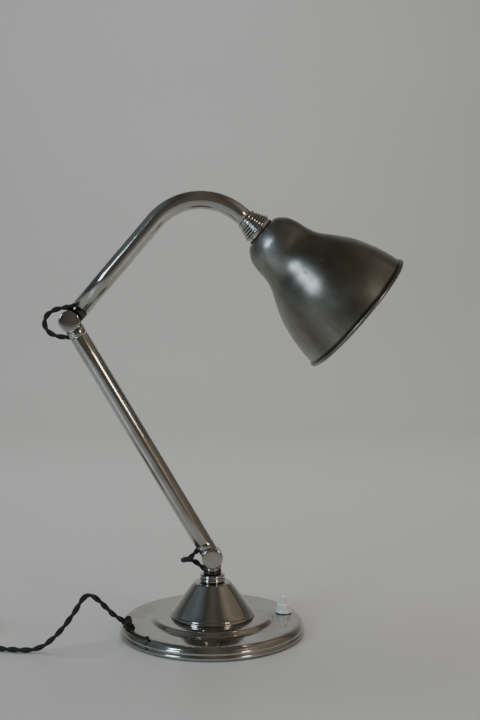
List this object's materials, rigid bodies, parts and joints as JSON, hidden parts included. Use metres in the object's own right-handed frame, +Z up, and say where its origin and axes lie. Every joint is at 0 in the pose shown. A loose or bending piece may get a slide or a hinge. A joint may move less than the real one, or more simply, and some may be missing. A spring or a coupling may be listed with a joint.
{
  "type": "architect desk lamp",
  "caption": "Desk lamp with a weighted round base, chromed tube arms on knuckle joints, a ribbed holder cap, a bell shade, a push switch and a fabric cord with its plug.",
  "frame": {"origin": "centre of the felt's underside, on the table", "axes": "+Z up; the arms fold in the XZ plane and the shade reaches towards +X; the lead leaves the base towards -X"},
  "size_m": [0.5057, 0.1894, 0.4355],
  "materials": {
    "chrome": "polished, slightly worn",
    "shade_nickel": "aged satin nickel, darkened",
    "steel": "plain machined steel",
    "iron": "rough casting",
    "brass": "dull brass",
    "felt": "matte felt",
    "cloth": "braided cotton sleeve over two twisted cores",
    "rubber": "matte rubber",
    "black_plastic": "dark moulded plastic",
    "white_plastic": "glazed ivory white",
    "glass": "frosted lamp glass, lit"
  },
  "bodies": {
    "base": {"base_cover": "chrome", "base_felt": "felt", "base_weight": "iron", "base_cone": "chrome", "base_collar": "chrome", "neck_grub_screw": "steel", "base_stem": "steel", "stem_washer": "steel", "stem_nut": "steel", "switch_bezel": "white_plastic", "switch_nut": "steel", "switch_body": "black_plastic", "switch_spring": "steel", "base_flex": "cloth", "stem_flex": "cloth", "lower_joint_loop": "cloth", "elbow_loop": "cloth", "cord_bush": "rubber", "cord_lead": "cloth", "cord_knot": "cloth", "tie_tail": "cloth", "cord_coil": "cloth", "cord_tail": "cloth", "plug_body": "black_plastic", "plug_pin_1": "brass", "plug_pin_2": "brass"},
    "button": {"switch_button": "white_plastic"},
    "neck": {"neck_knuckle": "chrome", "neck_sleeve": "black_plastic", "neck_flex": "cloth"},
    "lower_arm": {"lower_knuckle": "chrome", "lower_joint_washer": "steel", "lower_joint_screw": "steel", "lower_arm_tube": "chrome", "elbow_front_knuckle": "chrome", "elbow_joint_washer": "steel", "elbow_joint_screw": "steel", "lower_arm_flex": "cloth"},
    "upper_arm": {"elbow_rear_knuckle": "chrome", "upper_arm_tube": "chrome", "upper_arm_flex": "cloth", "holder_cap": "chrome", "holder_skirt": "brass", "holder_insulator": "black_plastic", "holder_contact_1": "brass", "holder_contact_2": "brass", "shade_gasket": "rubber", "shade_ring": "black_plastic", "shade": "shade_nickel", "bulb_cap": "brass", "bulb_glass": "glass"}
  },
  "joints": [
    {"name": "neck_swivel", "type": "hinge", "parent": "base", "child": "neck", "pos_m": [0, 0, 0.074], "axis": [0, 0, 1], "range_deg": [-160, 160]},
    {"name": "lower_joint", "type": "hinge", "parent": "neck", "child": "lower_arm", "pos_m": [0, 0, 0.074], "axis": [0, 1, 0], "range_deg": [-40, 60], "deforming": ["lower_joint_loop"]},
    {"name": "elbow_joint", "type": "hinge", "parent": "lower_arm", "child": "upper_arm", "pos_m": [-0.13815, 0, 0.30947], "axis": [0, 1, 0], "range_deg": [-75, 5], "deforming": ["elbow_loop"]},
    {"name": "switch_press", "type": "slide", "parent": "base", "child": "button", "axis": [0, 0, 1], "range_m": [-0.003, 0], "stiffness_N_per_m": 400, "springref_m": 0.002, "deforming": ["switch_spring"]}
  ]
}
